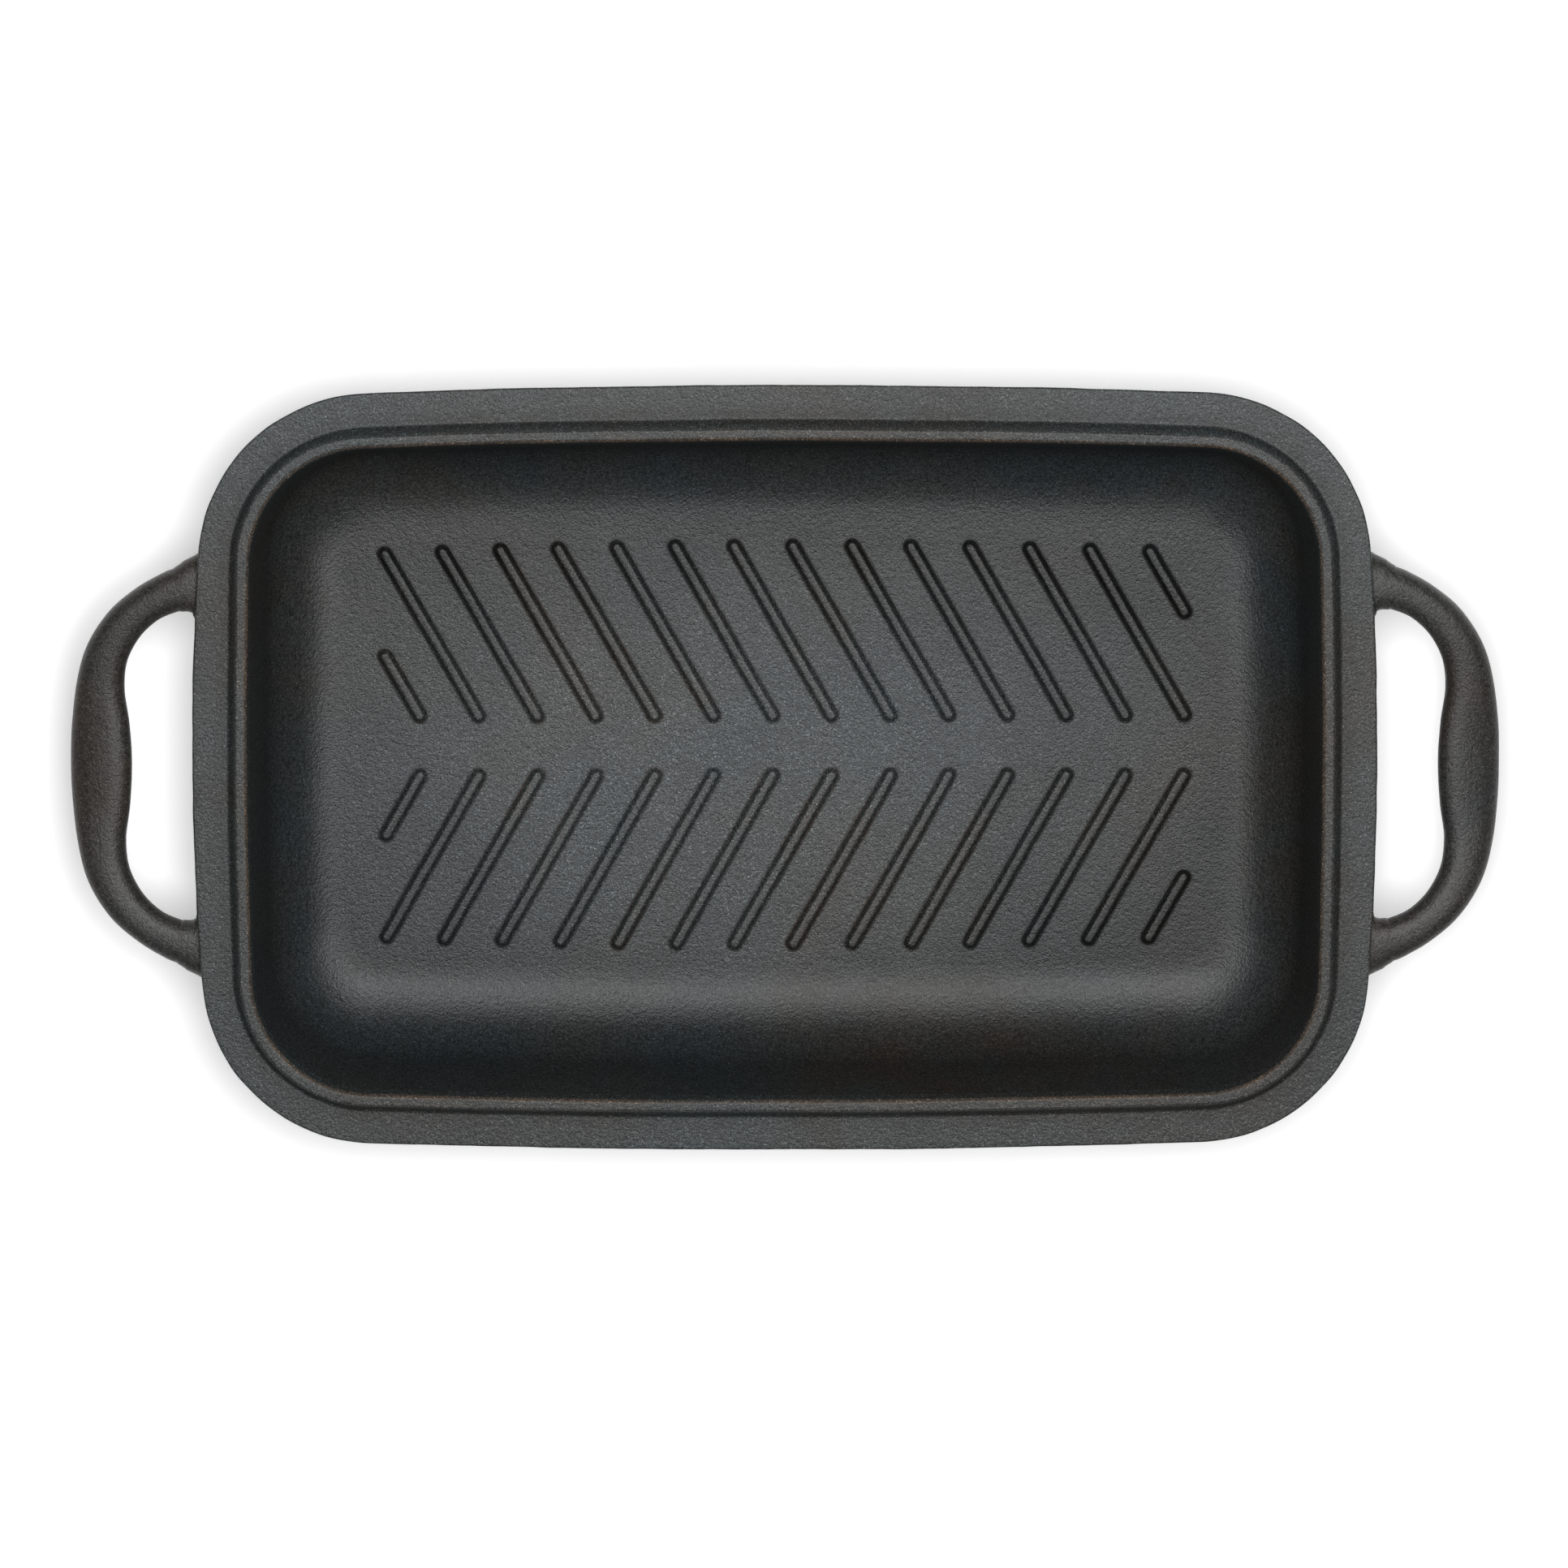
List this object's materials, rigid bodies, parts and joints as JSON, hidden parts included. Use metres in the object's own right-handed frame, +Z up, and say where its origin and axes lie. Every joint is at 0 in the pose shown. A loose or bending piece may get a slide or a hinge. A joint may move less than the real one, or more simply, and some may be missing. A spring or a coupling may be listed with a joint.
{
  "type": "ribbed griddle pan",
  "caption": "Rectangular cast-iron griddle pan with herringbone searing ribs, a flat rim with a raised locating lip, and a loop handle at each end.",
  "frame": {"origin": "centre of the flat base", "axes": "+X along the pan towards the point of the rib chevrons, +Y across it, +Z up out of the cavity"},
  "size_m": [0.3984, 0.2172, 0.046],
  "materials": {
    "body_iron": "fine sand-cast texture, oiled, bluish dark grey with faint brown patches",
    "rim_iron": "fine sand-cast texture, oiled, brown at the outer edges",
    "handle_iron": "fine sand-cast texture, oiled, warmer and darker than the body",
    "rib_iron": "fine sand-cast texture, slightly smoother crests"
  },
  "bodies": {
    "root": {"pan_tub": "body_iron", "rim_flange": "rim_iron", "locating_lip": "rim_iron", "left_handle": "handle_iron", "right_handle": "handle_iron", "upper_rib_01": "rib_iron", "upper_rib_02": "rib_iron", "upper_rib_03": "rib_iron", "upper_rib_04": "rib_iron", "upper_rib_05": "rib_iron", "upper_rib_06": "rib_iron", "upper_rib_07": "rib_iron", "upper_rib_08": "rib_iron", "upper_rib_09": "rib_iron", "upper_rib_10": "rib_iron", "upper_rib_11": "rib_iron", "upper_rib_12": "rib_iron", "upper_rib_13": "rib_iron", "upper_rib_14": "rib_iron", "upper_rib_15": "rib_iron", "lower_rib_01": "rib_iron", "lower_rib_02": "rib_iron", "lower_rib_03": "rib_iron", "lower_rib_04": "rib_iron", "lower_rib_05": "rib_iron", "lower_rib_06": "rib_iron", "lower_rib_07": "rib_iron", "lower_rib_08": "rib_iron", "lower_rib_09": "rib_iron", "lower_rib_10": "rib_iron", "lower_rib_11": "rib_iron", "lower_rib_12": "rib_iron", "lower_rib_13": "rib_iron", "lower_rib_14": "rib_iron", "lower_rib_15": "rib_iron"}
  },
  "joints": []
}
